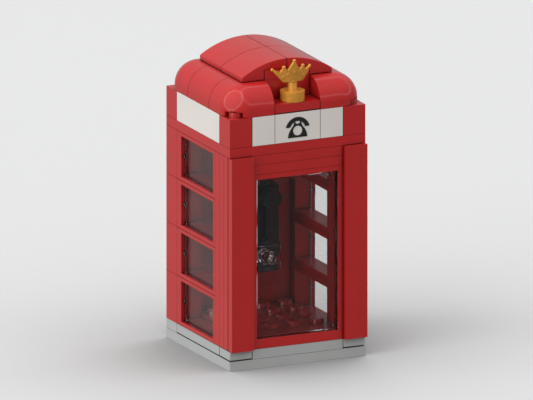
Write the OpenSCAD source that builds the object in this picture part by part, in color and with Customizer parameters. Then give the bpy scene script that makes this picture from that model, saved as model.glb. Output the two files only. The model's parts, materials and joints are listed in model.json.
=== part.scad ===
// Telephone booth built from interlocking toy construction bricks.
// +Z up, front towards -Y, origin at the centre of the base plate's underside.

/* [Grid] */
// Distance between stud centres
pitch = 8; // [7.9:0.1:8.1]
// Height of a plate, a third of a brick
plate_h = 3.2; // [3.1:0.1:3.3]
// Gap left on each side of a piece, so that neighbours slide past each other
play = 0.05; // [0.05:0.05:0.1]
// Gap left above a piece, so that stacked pieces meet in a fine seam
seam = 0.02; // [0.01:0.01:0.03]

/* [Studs] */
// Radius of a stud
stud_r = 2.4; // [2.3:0.05:2.4]
// Height of a stud
stud_h = 1.7; // [1.5:0.1:1.8]
// Thickness of the side walls of a hollow brick
wall = 1.5; // [1.3:0.05:1.5]
// Thickness of the top of a hollow brick
top_t = 1; // [0.9:0.1:1.2]
// Outer radius of the tubes under a piece two or more studs wide
tube_r = 3.2; // [3:0.05:3.2]
// Radius of the solid pins under a piece one stud wide
pin_r = 1.5; // [1.2:0.1:1.5]

/* [Windows] */
// Thickness of the rails on the outer side of a side window
rail_t = 1.3; // [1:0.1:1.6]
// Thickness of the rails on the inner side, which the pane rests against
inner_rail_t = 1.95; // [1.7:0.05:2.2]
// Thickness of a clear pane
pane_t = 1; // [0.8:0.1:1.2]
// Depth of the pane behind the outer face of the window
pane_recess = 1.4; // [1.2:0.1:1.6]

/* [Door] */
// Thickness of the uprights of the door frame
stile_t = 1.6; // [1.4:0.1:1.7]
// Thickness of the top of the door frame
lintel_t = 1.7; // [1.6:0.05:1.8]
// Thickness of the clear door
leaf_t = 1.6; // [1.4:0.1:1.7]
// Depth of the clear door behind the front of its frame
leaf_recess = 0.7; // [0.6:0.1:1]
// Radius of the rounded free edges of the clear door
leaf_round = 0.45; // [0.3:0.05:0.6]
// Radius of the two hinge pins of the door
hinge_r = 0.75; // [0.6:0.05:0.75]

/* [Roof] */
// Radius of the curve that the arch on the roof follows
arch_r = 28.6; // [28:0.1:30]

/* [Crown] */
// Radius of the curve that the lower edge of the crown follows in plan
crown_r = 10.3; // [9.5:0.1:11]
// Growth of that radius for each millimetre up
crown_flare = 0.13; // [0.1:0.01:0.16]
// Thickness of the crown
crown_t = 1; // [0.8:0.1:1.2]
// Radius of the post that holds the crown
post_r = 1.5; // [1.4:0.1:1.6]
// Radius of the crown's peg
peg_r = 0.8; // [0.7:0.05:0.9]

/* [Telephone] */
// Radius of the round ends of the handset
ear_r = 3.2; // [3:0.1:3.4]
// Depth of the handset from front to back
handset_d = 4; // [3.6:0.1:4.2]

/* [Hidden] */
$fn = 48;
brick_h = 3 * plate_h;
tall_h = 5 * plate_h;              // a brick and two plates, two pitches on its side
z_step = plate_h;                  // top of the base plate
z_wall = 2 * plate_h;              // underside of the walls
z_floor = 3 * plate_h;             // top of the floor plate
wall_h = 4 * tall_h;               // height of the walls
z_ceiling = z_wall + wall_h;       // underside of the ceiling plate
z_fascia = z_ceiling + plate_h;
z_roof = z_fascia + brick_h;
z_arch = z_roof + brick_h;
z_door_top = z_wall + 6 * brick_h; // top of the door frame
inset = play + wall;               // from the grid line to the inside of a hollow piece
sink = 0.4;                        // how far a stud reaches into the piece that it stands on
slack = 0.05;                      // clearance of a socket round a stud
recess_h = stud_h + 0.2;           // depth of a recess that only takes studs
groove = 0.35;                     // groove round the foot of a tile
y_sill = 2 * pitch + play - seam;  // rear end of the side windows
window_l = 9 * plate_h;            // length of a side window
y_pillar = y_sill - window_l;      // front end of the side windows
n_pillar = 3;                      // sideways plates in each front pillar
y_tile = y_pillar - n_pillar * plate_h;
x_out = 3 * pitch - play;          // outer face of the walls
x_pane = x_out - pane_recess - pane_t;
y_front = play - 3 * pitch;        // front face of the booth
y_leaf = y_front + leaf_recess;    // front face of the door
leaf_gap = 0.15;                   // clearance above and below the door
barrel_r = leaf_t / 2 + 0.15;      // radius of the rounded hinge edge of the door
x_hinge = 2 * pitch - play - stile_t - barrel_r - 0.2;
y_hinge = y_leaf + leaf_t / 2;
hinge_l = 0.9;                     // how far a hinge pin reaches into the frame
z_hinge_top = z_door_top - lintel_t;
handle_z = z_wall + 3.7 * pitch;   // centre height of the door handle
handle_x = -1.25 * pitch;
arch_top = z_arch + 2 * plate_h;
crown_y = -2.5 * pitch;            // the crown's post stands on this line
crown_z = z_arch - 0.2;            // lower edge of the crown
y_cone = crown_y - 0.55 + crown_r; // axis of the cone that the crown is cut from
phone_z = z_wall + tall_h;         // underside of the telephone
side_stud_z = brick_h - pitch / 2; // side studs lie half a pitch below the top of their brick
ear_z = phone_z + plate_h + side_stud_z;
ear_x = pitch / 2;
y_phone = pitch + play;            // front face of the telephone

red = [0.72, 0.05, 0.05];
grey = [0.63, 0.65, 0.66];
white = [0.93, 0.92, 0.89];
black = [0.06, 0.06, 0.06];
gold = [0.78, 0.55, 0.25];
clear = [0.85, 0.92, 0.95, 0.4];

// ---- shared shapes, each with its low corner at the origin of its grid cell ----

module stud() {
    translate([0, 0, -sink]) cylinder(r = stud_r, h = stud_h + sink);
}

// Body of a piece nx by ny studs, which fills a height of h up to the seam
module block(nx, ny, h) {
    translate([play, play, 0]) cube([nx * pitch - 2 * play, ny * pitch - 2 * play, h - seam]);
}

// Row or grid of studs on a surface at z = 0
module studs(nx, ny) {
    for (i = [0.5 : nx - 0.5], j = [0.5 : ny - 0.5])
        translate([i * pitch, j * pitch, 0]) stud();
}

// Tubes or pins that grip the studs of the piece below
module grips(nx, ny, h) {
    if (nx > 1 && ny > 1)
        for (i = [1 : nx - 1], j = [1 : ny - 1])
            translate([i * pitch, j * pitch, 0]) difference() {
                cylinder(r = tube_r, h = h);
                translate([0, 0, -1]) cylinder(r = stud_r, h = h + 1);
            }
    else if (nx > 1)
        for (i = [1 : nx - 1]) translate([i * pitch, pitch / 2, 0]) cylinder(r = pin_r, h = h);
    else if (ny > 1)
        for (j = [1 : ny - 1]) translate([pitch / 2, j * pitch, 0]) cylinder(r = pin_r, h = h);
}

// Hollow from below, d deep
module hollow(nx, ny, d) {
    translate([inset, inset, -1])
        cube([nx * pitch - 2 * inset, ny * pitch - 2 * inset, d + 1]);
}

// Plain brick, plate or tile with a hollow underside
module brick(nx, ny, h, top_studs = true) {
    d = h - top_t;
    difference() {
        block(nx, ny, h);
        hollow(nx, ny, d);
    }
    grips(nx, ny, d + sink);
    if (top_studs) translate([0, 0, h]) studs(nx, ny);
}

// Smooth plate with a groove round its foot
module tile(nx, ny) {
    edge = play + groove;
    difference() {
        brick(nx, ny, plate_h, false);
        difference() {
            translate([-1, -1, -1]) cube([nx * pitch + 2, ny * pitch + 2, 1 + groove]);
            translate([edge, edge, -2]) cube([nx * pitch - 2 * edge, ny * pitch - 2 * edge, 4]);
        }
    }
}

// Puts a piece at a grid cell, counted from the middle of the booth
module at(ix, iy, z) {
    translate([ix * pitch, iy * pitch, z]) children();
}

// Mirrors a left-hand piece to the right when side is 1
module on_side(side) {
    mirror([side > 0 ? 1 : 0, 0, 0]) children();
}

// ---- base ----

module base_plate() {
    color(grey) at(-3, -3, 0) brick(6, 6, plate_h);
}

module inner_base_plate() {
    color(grey) at(-2, -2, z_step) brick(4, 4, plate_h);
}

module front_step_plate() {
    color(grey) at(-2, -3, z_step) brick(4, 1, plate_h);
}

module rear_step_plate() {
    color(grey) at(-2, 2, z_step) brick(4, 1, plate_h);
}

module side_step_tiles() {
    color(grey) for (ix = [-3, 2]) at(ix, -2, z_step) tile(1, 4);
}

module front_corner_tiles() {
    color(grey) for (ix = [-3, 2]) at(ix, -3, z_step) tile(1, 1);
}

module rear_corner_plates() {
    color(grey) for (ix = [-3, 2]) at(ix, 2, z_step) brick(1, 1, plate_h);
}

module floor_plate() {
    color(red) at(-2, -2, z_wall) brick(4, 4, plate_h);
}

// ---- side walls ----

// One stud-deep window lying on its side, at storey n of the left wall
module left_window(n) {
    z0 = z_wall + n * tall_h;
    translate([-3 * pitch, 0, z0]) {
        difference() {
            translate([play, y_pillar, play])
                cube([pitch - 2 * play, window_l, tall_h - 2 * play]);
            // outer part of the opening, which takes the pane
            translate([-1, y_pillar + plate_h / 2, rail_t])
                cube([1 + x_out - x_pane + play, window_l - 1.5 * plate_h, tall_h - 2 * rail_t]);
            // inner part, narrower, so that the pane has a ledge
            translate([0, y_pillar + plate_h / 2, inner_rail_t])
                cube([pitch + 1, window_l - 1.5 * plate_h, tall_h - 2 * inner_rail_t]);
            // hollow end that takes the side studs of the rear column
            translate([inset, y_sill - plate_h + top_t, inset])
                cube([pitch - 2 * inset, plate_h, tall_h - 2 * inset]);
        }
        for (k = [0.5, 1.5])
            translate([pitch / 2, y_pillar, k * pitch]) rotate([90, 0, 0]) stud();
    }
}

// Clear pane of the window at storey n, with the lug that clips it in
module left_pane(n) {
    z0 = z_wall + n * tall_h;
    y0 = y_pillar + plate_h / 2 + slack;
    len_y = window_l - 1.5 * plate_h - 2 * slack;
    lug = 1.2;
    translate([-x_out + pane_recess, y0, z0 + rail_t + slack])
        cube([pane_t, len_y, tall_h - 2 * (rail_t + slack)]);
    translate([-x_out + pane_recess - lug / 2, y0 + len_y - lug, z0 + (tall_h - lug) / 2])
        cube([lug, lug, lug]);
}

module side_window(side, n) {
    color(red) on_side(side) left_window(n);
}

module side_pane(side, n) {
    color(clear) on_side(side) left_pane(n);
}

// Four tall bricks, each with two side studs that hold a window
module rear_column(side) {
    color(red) on_side(side) for (n = [0 : 3]) at(-3, 2, z_wall + n * tall_h) {
        brick(1, 1, tall_h);
        for (k = [0.5, 1.5])
            translate([pitch / 2, play, k * pitch]) rotate([90, 0, 0]) stud();
    }
}

// Plates on edge, studs forwards, that carry on from the windows
module pillar_plates(side) {
    color(red) on_side(side) for (k = [0 : n_pillar - 1])
        translate([-3 * pitch, y_pillar - k * plate_h, z_wall])
            rotate([90, 0, 0]) brick(1, 8, plate_h);
}

module pillar_tile(side) {
    color(red) on_side(side) translate([-3 * pitch, y_tile, z_wall])
        rotate([90, 0, 0]) tile(1, 8);
}

// ---- front ----

module door_frame() {
    color(red) {
        difference() {
            at(-2, -3, z_wall) block(4, 1, z_door_top - z_wall);
            translate([-2 * pitch + play + stile_t, -3 * pitch - 1, z_floor])
                cube([4 * pitch - 2 * (play + stile_t), pitch + 2, z_hinge_top - z_floor]);
            at(-2, -3, z_wall) hollow(4, 1, recess_h);
            translate([x_hinge, y_hinge, z_floor - hinge_l - 0.1])
                cylinder(r = hinge_r + slack, h = z_hinge_top - z_floor + 2 * hinge_l + 0.2);
        }
        at(-2, -3, z_door_top) studs(4, 1);
    }
}

// Rectangle w by h with corners of radius leaf_round
module round_rect(w, h) {
    r = leaf_round;
    translate([r, 0]) square([w - 2 * r, h]);
    translate([0, r]) square([w, h - 2 * r]);
    for (x = [r, w - r], y = [r, h - r]) translate([x, y]) circle(r);
}

// Clear leaf w wide and h high, with its free edges rounded
module leaf(w, h) {
    intersection() {
        linear_extrude(h) round_rect(w, leaf_t);
        rotate([90, 0, 90]) linear_extrude(w) round_rect(leaf_t, h);
    }
}

// Clear door with a rounded hinge edge, two pins, stepped blocks in its two hinge corners, and
// a square plinth with a hollow stud on each side for a handle
module door() {
    z0 = z_floor + leaf_gap;
    h = z_hinge_top - z_floor - 2 * leaf_gap;
    x0 = -2 * pitch + play + stile_t + 0.25;
    plinth_h = leaf_recess;
    pin_l = hinge_l + leaf_gap - 0.05;
    bore_r = 1.6;
    color(clear) {
        translate([x0, y_leaf, z0]) leaf(x_hinge - x0, h);
        translate([x_hinge, y_hinge, z0]) cylinder(r = barrel_r, h = h);
        translate([x_hinge, y_hinge, z0 - pin_l]) cylinder(r = hinge_r, h = h + 2 * pin_l);
        // stepped blocks: width and height of each step
        for (step = [[1.5, 1.9], [3.3, 1.2]], z = [z0, z0 + h - step[1]])
            translate([x_hinge - step[0], y_hinge, z])
                cube([step[0], leaf_t / 2 + plinth_h, step[1]]);
        translate([handle_x, y_hinge, handle_z]) for (turn = [90, -90]) rotate([turn, 0, 0])
            translate([0, 0, leaf_t / 2]) {
                translate([-pitch / 2, -pitch / 2, -sink]) cube([pitch, pitch, sink + plinth_h]);
                translate([0, 0, plinth_h]) difference() {
                    stud();
                    cylinder(r = bore_r, h = stud_h + 1);
                }
            }
    }
}

// Two plates over the door frame and two over the back wall
module lintel_plates() {
    color(red) for (iy = [-3, 2], k = [0, 1])
        at(-2, iy, z_door_top + k * plate_h) brick(4, 1, plate_h);
}

// ---- back wall ----

module back_wall_course(n) {
    at(-2, 2, z_wall + n * brick_h) brick(4, 1, brick_h);
}

module lower_back_wall() {
    color(red) for (n = [0, 1]) back_wall_course(n);
}

module upper_back_wall() {
    color(red) for (n = [3 : 5]) back_wall_course(n);
}

// Brick with two side studs that hold the telephone
module phone_wall_brick() {
    color(red) {
        back_wall_course(2);
        for (x = [-ear_x, ear_x])
            translate([x, 2 * pitch + play, ear_z]) rotate([90, 0, 0]) stud();
    }
}

// ---- telephone ----

module phone_plates() {
    levels = [phone_z, phone_z + plate_h + brick_h, phone_z + 2 * plate_h + brick_h];
    color(black) for (z = levels) at(-1, 1, z) brick(2, 1, plate_h);
}

// Brick with two side studs in front and two sockets behind
module phone_brick(z) {
    color(black) difference() {
        union() {
            at(-1, 1, z) brick(2, 1, brick_h);
            for (x = [-ear_x, ear_x])
                translate([x, y_phone, z + side_stud_z]) rotate([90, 0, 0]) stud();
        }
        for (x = [-ear_x, ear_x])
            translate([x, 2 * pitch + 1, z + side_stud_z]) rotate([90, 0, 0])
                cylinder(r = stud_r + slack, h = 1 + play + stud_h);
    }
}

module phone_lower_brick() {
    phone_brick(phone_z + plate_h);
}

module phone_upper_brick() {
    phone_brick(phone_z + 3 * plate_h + brick_h);
}

// Handset that presses onto two side studs, two pitches apart
module handset() {
    gap = 0.1;
    y0 = y_phone - gap;
    grip_w = plate_h;
    grip_d = 2.2;
    color(black) {
        for (z = [ear_z, ear_z + tall_h]) translate([ear_x, y0, z]) rotate([90, 0, 0])
            difference() {
                cylinder(r = ear_r, h = handset_d);
                translate([0, 0, -1]) cylinder(r = stud_r + slack, h = 1 + stud_h);
            }
        translate([ear_x - grip_w / 2, y0 - handset_d, ear_z + stud_r])
            cube([grip_w, grip_d, tall_h - 2 * stud_r]);
    }
}

// ---- fascia ----

module ceiling_plate() {
    color(red) at(-3, -3, z_ceiling) brick(6, 6, plate_h);
}

module fascia_corner_bricks() {
    color(red) for (ix = [-3, 2], iy = [-3, 2]) at(ix, iy, z_fascia) brick(1, 1, brick_h);
}

module fascia_end_bricks() {
    color(white) for (ix = [-2, 1]) at(ix, -3, z_fascia) brick(1, 1, brick_h);
}

module sign_brick() {
    color(white) at(-1, -3, z_fascia) brick(2, 1, brick_h);
}

// Long bricks on the left, the right and the back
module fascia_long_bricks() {
    color(white) {
        for (ix = [-3, 2]) at(ix, -2, z_fascia) brick(1, 4, brick_h);
        at(-2, 2, z_fascia) brick(4, 1, brick_h);
    }
}

// Outline with two equal halves, from the points of the right half
function mirrored(half) = concat(half, [for (i = [len(half) - 1 : -1 : 0]) [-half[i][0], half[i][1]]]);

// Flat picture of a desk telephone, printed on the sign brick, with its foot at y = 0
module phone_picture() {
    half = [[3.4, 0], [3.1, 1.4], [2.55, 2.5], [1.85, 3.4], [1.35, 4.2], [1.2, 5.2], [1.2, 5.7]];
    dial_r = 1.65;
    fork_r = 1;
    fork_y = 5.4;
    difference() {
        polygon(mirrored(half));
        translate([0, 2.2]) circle(dial_r);
        intersection() {
            translate([0, fork_y]) circle(fork_r);
            translate([-fork_r, fork_y - 2 * fork_r]) square(2 * fork_r);
        }
    }
    // handset: an arc, thicker at its square-cut ends
    arc_r = 4.25;
    inner_r = 2.7;
    end_y = 3.45;
    intersection() {
        difference() {
            translate([0, 6.65 - arc_r]) circle(arc_r);
            translate([0, fork_y - inner_r]) circle(inner_r);
        }
        translate([-arc_r, end_y]) square([2 * arc_r, arc_r]);
    }
}

module phone_sign() {
    ink_t = 0.1;
    color(black) translate([0, y_front, z_fascia + 1.35]) rotate([90, 0, 0])
        linear_extrude(ink_t) phone_picture();
}

// ---- roof ----

// Outline of a rounded edge: a quarter circle on a short upright, then flat to len
module edge_profile(len) {
    r = pitch - play;
    foot = brick_h - r;
    translate([play, 0]) square([r, foot]);
    intersection() {
        translate([pitch, foot]) circle(r);
        translate([play, foot]) square([r, r]);
    }
    if (len > pitch) translate([pitch, 0]) square([len - pitch - play, brick_h]);
}

// Two by two corner with a ball-shaped outer corner, at the low corner of its grid cell
module dome_corner() {
    r = pitch - play;
    foot = brick_h - r;
    notch = 5;
    difference() {
        union() {
            translate([pitch, pitch, 0]) rotate([0, 0, 180]) rotate_extrude(angle = 90) {
                square([r, foot]);
                intersection() {
                    translate([0, foot]) circle(r);
                    translate([0, foot]) square([r, r]);
                }
            }
            translate([2 * pitch - play, 0, 0]) mirror([1, 0, 0]) rotate([90, 0, 90])
                linear_extrude(pitch - play) edge_profile(2 * pitch);
            translate([0, 2 * pitch - play, 0]) rotate([90, 0, 0])
                linear_extrude(pitch - play) edge_profile(pitch);
        }
        hollow(2, 2, recess_h);
        translate([-1, -1, -1]) cube([1 + play + notch, 1 + play + notch, 1 + stud_h]);
    }
    translate([1.5 * pitch, 1.5 * pitch, brick_h]) stud();
}

module dome(side, back) {
    color(red) on_side(side) mirror([0, back > 0 ? 1 : 0, 0]) at(-3, -3, z_roof) dome_corner();
}

// Two by two piece with one rounded edge, rounded towards -X
module roof_curve() {
    difference() {
        translate([0, 2 * pitch - play, 0]) rotate([90, 0, 0])
            linear_extrude(2 * (pitch - play)) edge_profile(2 * pitch);
        hollow(2, 2, recess_h);
    }
    translate([pitch, 0, brick_h]) studs(1, 2);
}

module side_roof_curve(side) {
    color(red) on_side(side) at(-3, -1, z_roof) roof_curve();
}

module rear_roof_curve() {
    color(red) rotate([0, 0, -90]) at(-3, -1, z_roof) roof_curve();
}

// Bricks inside the roof, the front one forming the back of the crown's recess
module roof_core() {
    color(red) {
        at(-1, -2, z_roof) brick(2, 1, brick_h);
        at(-1, -1, z_roof) brick(2, 2, brick_h);
    }
}

// Grooved plate with a single stud in its middle
module crown_plate() {
    color(red) at(-1, -3, z_roof) {
        tile(2, 1);
        translate([pitch, pitch / 2, plate_h]) stud();
    }
}

module arch_plate() {
    color(red) at(-1, -2, z_arch) brick(2, 4, plate_h);
}

// Curved slope, low at -X, whose high half is raised by a plate
module arch_slope() {
    h = arch_top - z_arch;
    difference() {
        translate([0, 2 * pitch - play, 0]) rotate([90, 0, 0])
            linear_extrude(2 * (pitch - play)) intersection() {
                translate([play, 0]) square([2 * (pitch - play), h]);
                translate([2 * pitch, h - arch_r]) circle(arch_r, $fn = 180);
            }
        translate([pitch - play, -1, -1]) cube([pitch + 1, 2 * pitch + 2, 1 + plate_h]);
        hollow(1, 2, recess_h);
        translate([pitch, 0, plate_h]) hollow(1, 2, recess_h);
    }
}

module arch_slopes(side) {
    color(red) on_side(side) for (iy = [-2, 0]) at(-2, iy, z_arch) arch_slope();
}

// ---- crown ----

// Round foot on the single stud, with a post that the crown plugs into
module crown_holder() {
    foot_r = pitch / 2 - play;
    z0 = z_roof + plate_h;
    color(gold) translate([0, crown_y, z0]) difference() {
        union() {
            cylinder(r = foot_r, h = plate_h);
            cylinder(r = post_r, h = crown_z - 0.2 - z0);
        }
        translate([0, 0, -1]) cylinder(r = stud_r + slack, h = 1 + recess_h);
        translate([0, 0, plate_h]) cylinder(r = peg_r + slack, h = pitch);
    }
}

// Front view of the crown, flat: a band that spreads into five points
module crown_outline() {
    half = [[3.45, 0], [6.75, 3.95], [6.4, 4.2], [4.4, 3.35], [3.5, 4.9], [3.2, 4.9],
            [2.05, 3.8], [0.15, 6.9]];
    polygon(mirrored(half));
}

// Distance from the axis of the crown's cone to its middle surface, z above its lower edge
function crown_r_at(z) = crown_r + crown_flare * z;

// Point d in front of the crown's middle surface
function crown_point(x, z, d = 0) =
    [x, y_cone - sqrt(pow(crown_r_at(z) + d, 2) - x * x), crown_z + z];

module crown_cone(d, top) {
    cylinder(r1 = crown_r_at(0) + d, r2 = crown_r_at(top) + d, h = top, $fn = 96);
}

module crown() {
    ball_r = 0.55;
    pearl_r = 0.3;
    top = 8;
    tips = [[0, 7], [3.35, 4.95], [6.6, 4.05]];
    pearls = [[0, 3.2], [2.05, 2.7], [3.5, 1.7]];
    color(gold) {
        intersection() {
            translate([0, crown_y, crown_z]) rotate([90, 0, 0])
                translate([0, 0, -6]) linear_extrude(12) crown_outline();
            translate([0, y_cone, crown_z]) difference() {
                crown_cone(crown_t / 2, top);
                crown_cone(-crown_t / 2, top);
            }
        }
        for (s = [-1, 1], k = [0 : 2]) if (s > 0 || k > 0) {
            translate(crown_point(s * tips[k][0], tips[k][1])) sphere(r = ball_r, $fn = 24);
            translate(crown_point(s * pearls[k][0], pearls[k][1], crown_t / 2))
                sphere(r = pearl_r, $fn = 24);
        }
        translate([0, crown_y, crown_z - 0.1]) cylinder(r = post_r - 0.1, h = 0.6);
        translate([0, crown_y, crown_z - 2.8]) cylinder(r = peg_r, h = 3.4);
    }
}

base_plate();
inner_base_plate();
front_step_plate();
rear_step_plate();
side_step_tiles();
front_corner_tiles();
rear_corner_plates();
floor_plate();
for (n = [0 : 3]) {
    side_window(-1, n);
    side_window(1, n);
    side_pane(-1, n);
    side_pane(1, n);
}
rear_column(-1);  // left_rear_column
rear_column(1);  // right_rear_column
pillar_plates(-1);  // left_pillar_plates
pillar_plates(1);  // right_pillar_plates
pillar_tile(-1);  // left_pillar_tile
pillar_tile(1);  // right_pillar_tile
door_frame();
door();
lintel_plates();
lower_back_wall();
phone_wall_brick();
upper_back_wall();
phone_plates();
phone_lower_brick();
phone_upper_brick();
handset();
ceiling_plate();
fascia_corner_bricks();
fascia_end_bricks();
sign_brick();
phone_sign();
fascia_long_bricks();
dome(-1, -1);  // front_left_dome
dome(1, -1);  // front_right_dome
dome(-1, 1);  // rear_left_dome
dome(1, 1);  // rear_right_dome
side_roof_curve(-1);  // left_roof_curve
side_roof_curve(1);  // right_roof_curve
rear_roof_curve();
roof_core();
crown_plate();
arch_plate();
arch_slopes(-1);  // left_arch_slopes
arch_slopes(1);  // right_arch_slopes
crown_holder();
crown();
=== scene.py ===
"""Looks of the toy-brick telephone booth: glossy moulded plastic, clear panes, soft studio light."""
import json
import math

import bpy
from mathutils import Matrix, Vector

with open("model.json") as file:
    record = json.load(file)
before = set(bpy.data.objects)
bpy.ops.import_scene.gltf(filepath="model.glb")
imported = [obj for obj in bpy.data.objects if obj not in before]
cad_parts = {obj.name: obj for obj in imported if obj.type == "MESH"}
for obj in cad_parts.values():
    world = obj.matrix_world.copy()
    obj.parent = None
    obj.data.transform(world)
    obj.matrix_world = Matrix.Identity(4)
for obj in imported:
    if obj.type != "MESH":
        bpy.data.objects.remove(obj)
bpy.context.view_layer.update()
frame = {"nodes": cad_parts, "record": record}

MM = 0.001
NODES = frame["nodes"]

# ---- settings ----

# Rounding of sharp edges in mm, by material, and for every other material
EDGE = {"clear_plastic": 0.15, "gold_plastic": 0.12, "black_print": 0.02}
EDGE_DEFAULT = 0.16
# How far in mm the faces are drawn in, so that the seams between the bricks show
INSET = {"red_plastic": 0.055, "grey_plastic": 0.055, "white_plastic": 0.04}
# Imported vertices nearer than this, in mm, are one
WELD = 0.001
# Edges whose faces turn by more than this, in degrees, are rounded with that many facets
SHARP = 35
FACETS = 2

# Base colours, linear
RED = (0.437, 0.012, 0.012)
GREY = (0.37, 0.378, 0.37)
WHITE = (0.685, 0.635, 0.598)
BLACK = (0.02, 0.02, 0.021)
INK = (0.012, 0.012, 0.012)
GOLD = (0.74, 0.33, 0.045)
CLEAR = (0.99, 1, 1)
CLEAR_DIM = (0.97, 0.98, 0.98)
PLASTIC_IOR = 1.5
# Range that a noise covers most of the time, and how much the polish varies over it
MIDDLE = (0.3, 0.7)
POLISH = 0.06

# How near other surfaces, in mm, bring painted shade into a corner and into a seam
CORNER_SHADE_REACH = 3.5
SEAM_SHADE_REACH = 0.5
NEAR_SAMPLES = 16

# Floor: half its width and the reach of its contact shadow in metres, its colour in the open and
# in the deepest shadow
FLOOR_HALF = 12
SHADOW_REACH = 0.3
FLOOR_OPEN = (0.503, 0.505, 0.506)
FLOOR_SHADOW = (0.275, 0.277, 0.277)

# Soft boxes: azimuth, elevation and angular radius in degrees, radiance
KEY = (-86, 28, 34, 2.28)
FILL = (90, 55, 38, 0.92)
LIGHT_DISTANCE = 4.0
LIGHT_TARGET = (0, 0, 0.05)
# Round reflectors seen in the gloss: azimuth, elevation and angular radius in degrees, brightness
# added over the whole disc and at its rim, whose width is RIM degrees
REFLECTORS = ((-84, 40, 47, 0.5, 1.2), (56, 51, 44, 0.05, 0.85))
RIM = 6

# Camera: azimuth and elevation in degrees, width of the view in metres, target in mm
VIEW = (-25.09, 14.957)
VIEW_WIDTH = 0.17036
VIEW_TARGET = (0.176, -0.082, 48.35)


# ---- edges: every piece gets a fine rounded edge ----

def smooth_group(name):
    """Geometry nodes that drop the imported normals and shade every face smooth."""
    group = bpy.data.node_groups.new(name, "GeometryNodeTree")
    group.interface.new_socket("Geometry", in_out="INPUT", socket_type="NodeSocketGeometry")
    group.interface.new_socket("Geometry", in_out="OUTPUT", socket_type="NodeSocketGeometry")
    geometry = group.nodes.new("NodeGroupInput").outputs[0]
    for attribute in ("custom_normal", "sharp_edge"):
        drop = group.nodes.new("GeometryNodeRemoveAttribute")
        drop.inputs["Name"].default_value = attribute
        group.links.new(geometry, drop.inputs["Geometry"])
        geometry = drop.outputs["Geometry"]
    smooth = group.nodes.new("GeometryNodeSetShadeSmooth")
    smooth.inputs["Shade Smooth"].default_value = True
    group.links.new(geometry, smooth.inputs["Geometry"])
    end = group.nodes.new("NodeGroupOutput")
    group.links.new(smooth.outputs["Geometry"], end.inputs[0])
    return group


SMOOTH = smooth_group("smooth_all")


def round_edges(obj, width, inset):
    """Welds the imported vertices, draws the faces in a little so that the seams show, and rounds
    the sharp edges."""
    obj.modifiers.new("smooth", "NODES").node_group = SMOOTH
    weld = obj.modifiers.new("weld", "WELD")
    weld.merge_threshold = WELD * MM
    if inset:
        shrink = obj.modifiers.new("inset", "DISPLACE")
        shrink.mid_level = 0
        shrink.strength = -inset
    bevel = obj.modifiers.new("bevel", "BEVEL")
    bevel.width = width
    bevel.segments = FACETS
    bevel.limit_method = "ANGLE"
    bevel.angle_limit = math.radians(SHARP)
    bevel.use_clamp_overlap = True
    normal = obj.modifiers.new("normal", "WEIGHTED_NORMAL")
    normal.keep_sharp = False


# ---- shader nodes ----

class Nodes:
    """A shader tree with short calls for the nodes that the looks and the room share."""

    def __init__(self, tree):
        self.tree = tree

    def feed(self, socket, value):
        """Gives a socket a plain value or another node's output."""
        if isinstance(value, bpy.types.NodeSocket):
            self.tree.links.new(value, socket)
        else:
            socket.default_value = value

    def add(self, kind, **values):
        """New node; an underscore in a value's name stands for the space in its socket's name."""
        node = self.tree.nodes.new("ShaderNode" + kind)
        for name, value in values.items():
            self.feed(node.inputs[name.replace("_", " ")], value)
        return node

    def ramp(self, value, low, high, start, stop, kind="LINEAR"):
        """Runs from low to high while the value runs from start to stop."""
        node = self.add("MapRange", From_Min=start, From_Max=stop, To_Min=low, To_Max=high, Value=value)
        node.interpolation_type = kind
        return node.outputs["Result"]

    def join(self, kind, one, two):
        node = self.add("Math")
        node.operation = kind
        self.feed(node.inputs[0], one)
        self.feed(node.inputs[1], two)
        return node.outputs["Value"]


class Look(Nodes):
    """A material's nodes around its Principled shader; the patterns ride on the piece."""

    def __init__(self, name):
        self.material = bpy.data.materials.new(name)
        self.material.use_nodes = True
        super().__init__(self.material.node_tree)
        self.shader = self.tree.nodes["Principled BSDF"]
        self.place = self.add("TexCoord").outputs["Object"]

    def set(self, **values):
        for name, value in values.items():
            self.feed(self.shader.inputs[name.replace("_", " ")], value)

    def noise(self, scale, detail, roughness):
        node = self.add("TexNoise", Vector=self.place, Scale=scale, Detail=detail, Roughness=roughness)
        return node.outputs["Fac"]

    def between(self, noise, low, high):
        """Spreads the middle of a noise over the values from low to high."""
        return self.ramp(noise, low, high, *MIDDLE)

    def colours(self, value, low, high, ends=MIDDLE):
        """Runs from one colour to another while the value runs between the two ends."""
        node = self.add("ValToRGB", Fac=value)
        for element, position, colour in zip(node.color_ramp.elements, ends, (low, high)):
            element.position = position
            element.color = (*colour, 1)
        return node.outputs["Color"]

    def scaled(self, colour, factor):
        node = self.add("VectorMath")
        node.operation = "SCALE"
        self.feed(node.inputs["Vector"], colour)
        self.feed(node.inputs["Scale"], factor)
        return node.outputs["Vector"]

    def bump(self, height, strength, distance):
        node = self.add("Bump", Strength=strength, Distance=distance, Height=height)
        self.set(Normal=node.outputs["Normal"])

    def near(self, reach):
        """1 in the open, less where other surfaces stand within reach."""
        node = self.add("AmbientOcclusion", Distance=reach)
        node.samples = NEAR_SAMPLES
        return node.outputs["AO"]

    def hide_from_gloss(self):
        """Leaves the surface out of every reflection, also those inside clear panes."""
        path = self.add("LightPath")
        gone = self.add("BsdfTransparent")
        mix = self.add("MixShader")
        self.feed(mix.inputs[0], path.outputs["Glossy Depth"])
        self.feed(mix.inputs[1], self.shader.outputs[0])
        self.feed(mix.inputs[2], gone.outputs[0])
        self.feed(self.tree.nodes["Material Output"].inputs["Surface"], mix.outputs[0])


# ---- materials ----

def shade(colour, factor):
    return tuple(c * factor for c in colour)


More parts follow.
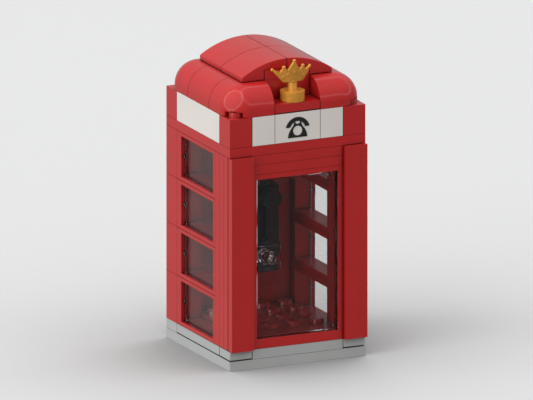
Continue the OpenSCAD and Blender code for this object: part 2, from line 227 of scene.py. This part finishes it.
def moulded(name, colour, roughness=0.33):
    """Glossy injection-moulded plastic: faint flow marks, uneven polish and a fine ripple; shade is
    painted into its colour, darker in its corners and seams."""
    look = Look(name)
    flow = look.noise(scale=90, detail=4, roughness=0.55)
    tint = look.colours(flow, shade(colour, 0.97), shade(colour, 1.03))
    # painted shade in corners and recesses: the colour darkens where other surfaces stand near
    painted_corner_shade = look.ramp(look.near(CORNER_SHADE_REACH * MM), low=0.45, high=1.0, start=0.15, stop=0.85)
    # painted shade in the seams between the bricks
    painted_seam_shade = look.ramp(look.near(SEAM_SHADE_REACH * MM), low=0.1, high=1.0, start=0.4, stop=0.95)
    marks = look.noise(scale=260, detail=5, roughness=0.6)
    polish = look.between(marks, roughness - POLISH / 2, roughness + POLISH / 2)
    ripple = look.noise(scale=420, detail=2, roughness=0.4)
    look.bump(ripple, strength=0.05, distance=0.02 * MM)
    look.set(Base_Color=look.scaled(look.scaled(tint, painted_corner_shade), painted_seam_shade), Roughness=polish)
    look.set(IOR=PLASTIC_IOR, Specular_IOR_Level=0.38, Coat_Weight=0.75, Coat_Roughness=0.03)
    return look.material


def pearl(name, colour):
    """Pearl gold plastic: metal flakes swirl in the colour under a clear gloss."""
    look = Look(name)
    swirl = look.noise(scale=500, detail=5, roughness=0.6)
    flakes = look.noise(scale=2500, detail=2, roughness=0.5)
    grain = look.noise(scale=6000, detail=1, roughness=0.5)
    look.bump(grain, strength=0.05, distance=0.01 * MM)
    look.set(Base_Color=look.colours(swirl, shade(colour, 0.85), shade(colour, 1.12)))
    look.set(Roughness=look.between(flakes, 0.3, 0.42))
    look.set(Metallic=0.35, IOR=PLASTIC_IOR, Coat_Weight=0.4, Coat_Roughness=0.12)
    return look.material


def clear(name):
    """Clear moulded plastic: nearly colourless, with faint polish marks and waves."""
    look = Look(name)
    clouds = look.noise(scale=60, detail=2, roughness=0.5)
    marks = look.noise(scale=300, detail=3, roughness=0.5)
    waves = look.noise(scale=120, detail=1, roughness=0.4)
    look.bump(waves, strength=0.03, distance=0.02 * MM)
    look.set(Base_Color=look.colours(clouds, CLEAR_DIM, CLEAR))
    look.set(Roughness=look.between(marks, 0.0, 0.03))
    look.set(IOR=PLASTIC_IOR, Transmission_Weight=1.0)
    return look.material


LOOKS = {
    "red_plastic": moulded("red_plastic", RED),
    "grey_plastic": moulded("grey_plastic", GREY),
    "white_plastic": moulded("white_plastic", WHITE),
    "black_plastic": moulded("black_plastic", BLACK),
    "gold_plastic": pearl("gold_plastic", GOLD),
    "clear_plastic": clear("clear_plastic"),
    "black_print": moulded("black_print", INK, 0.3),
}

slots = {part["node"]: part["material_slot"] for part in frame["record"]["subparts"]}
for name, obj in NODES.items():
    slot = slots[name]
    obj.data.materials.clear()
    obj.data.materials.append(LOOKS[slot])
    round_edges(obj, EDGE.get(slot, EDGE_DEFAULT) * MM, INSET.get(slot, 0) * MM)


# ---- stage: pale floor, soft light, camera ----

def floor():
    """Pale floor with a soft contact shadow; it lights nothing and shows in no reflection."""
    look = Look("floor")
    colour = look.colours(look.near(SHADOW_REACH), FLOOR_SHADOW, FLOOR_OPEN, ends=(0.45, 1.0))
    look.set(Base_Color=colour, Roughness=0.9, Specular_IOR_Level=0.2)
    look.hide_from_gloss()
    corners = [(x * FLOOR_HALF, y * FLOOR_HALF, 0) for x, y in ((-1, -1), (1, -1), (1, 1), (-1, 1))]
    mesh = bpy.data.meshes.new("floor")
    mesh.from_pydata(corners, [], [(0, 1, 2, 3)])
    mesh.materials.append(look.material)
    obj = bpy.data.objects.new("floor", mesh)
    obj.visible_glossy = False
    obj.visible_diffuse = False
    obj.visible_shadow = False
    bpy.context.scene.collection.objects.link(obj)


def direction(azimuth, elevation):
    """Unit vector from the booth towards a point seen at that azimuth and elevation."""
    az, el = math.radians(azimuth), math.radians(elevation)
    return Vector((math.sin(az) * math.cos(el), -math.cos(az) * math.cos(el), math.sin(el)))


def aim(obj, place, target):
    """Puts a lamp or camera in the scene at a place, turned to the target."""
    obj.location = place
    obj.rotation_euler = (place - target).to_track_quat("Z", "Y").to_euler()
    bpy.context.scene.collection.objects.link(obj)


def soft_box(name, azimuth, elevation, angle, radiance):
    """Round soft box far from the booth, seen from it as a disc of that angular radius."""
    radius = LIGHT_DISTANCE * math.tan(math.radians(angle))
    data = bpy.data.lights.new(name, "AREA")
    data.shape = "DISK"
    data.size = 2 * radius
    data.energy = radiance * math.pi * math.pi * radius ** 2
    target = Vector(LIGHT_TARGET)
    obj = bpy.data.objects.new(name, data)
    obj.visible_glossy = False
    aim(obj, target + direction(azimuth, elevation) * LIGHT_DISTANCE, target)


class Room(Nodes):
    """World shader: a brightness for each direction, one for light and one for reflections."""

    def __init__(self):
        self.world = bpy.data.worlds.new("studio")
        self.world.use_nodes = True
        super().__init__(self.world.node_tree)
        self.way = self.add("TexCoord").outputs["Generated"]
        split = self.add("SeparateXYZ", Vector=self.way)
        self.back, self.height = split.outputs["Y"], split.outputs["Z"]

    def step(self, value, low, high, start=0.0, stop=1.0):
        """As ramp, with soft ends."""
        return self.ramp(value, low, high, start, stop, "SMOOTHSTEP")

    def disc(self, azimuth, elevation, angle, blur):
        """1 inside a round patch of the room and 0 outside it."""
        dot = self.add("VectorMath")
        dot.operation = "DOT_PRODUCT"
        self.feed(dot.inputs[0], self.way)
        self.feed(dot.inputs[1], direction(azimuth, elevation))
        outer, inner = (math.cos(math.radians(angle + blur * side)) for side in (0.5, -0.5))
        return self.step(dot.outputs["Value"], 0.0, 1.0, start=outer, stop=inner)

    def sky(self):
        """Light on the booth: brighter towards the zenith, dim from below."""
        upper = self.step(self.height, 0.57, 1.2)
        return self.step(self.height, 0.36, upper, start=-0.02, stop=0.02)

    def gloss(self, transmissions):
        """What the gloss shows: a dim room, darker in front, with two round reflectors. Light that
        has passed through several clear walls is weaker."""
        front = self.step(self.height, 0.13, 0.15, start=0.12, stop=0.17)
        behind = self.step(self.height, 0.28, 0.34, start=-0.2, stop=0.0)
        gloss = self.step(self.back, front, behind, start=0.3, stop=0.6)
        for azimuth, elevation, angle, inside, rim in REFLECTORS:
            disc = self.disc(azimuth, elevation, angle, blur=2)
            ring = self.join("SUBTRACT", disc, self.disc(azimuth, elevation, angle - RIM, blur=3))
            for patch, level in ((disc, inside), (ring, rim)):
                gloss = self.join("ADD", gloss, self.join("MULTIPLY", patch, level))
        return self.join("MULTIPLY", gloss, self.step(transmissions, 1.0, 0.6, start=2.5, stop=3.5))

    def light(self):
        path = self.add("LightPath").outputs
        gloss = self.gloss(path["Transmission Depth"])
        backdrop = self.tree.nodes["Background"]
        self.feed(backdrop.inputs["Color"], (1, 1, 1, 1))
        self.feed(backdrop.inputs["Strength"], self.step(path["Glossy Depth"], self.sky(), gloss))
        bpy.context.scene.world = self.world


def camera():
    """Orthographic view from the front left, a little above."""
    data = bpy.data.cameras.new("camera")
    data.type = "ORTHO"
    data.ortho_scale = VIEW_WIDTH
    data.clip_end = 10
    obj = bpy.data.objects.new("camera", data)
    target = Vector(VIEW_TARGET) * MM
    aim(obj, target + direction(*VIEW), target)
    bpy.context.scene.camera = obj


floor()
Room().light()
soft_box("key", *KEY)
soft_box("fill", *FILL)
camera()
bpy.context.scene.view_settings.view_transform = "Standard"
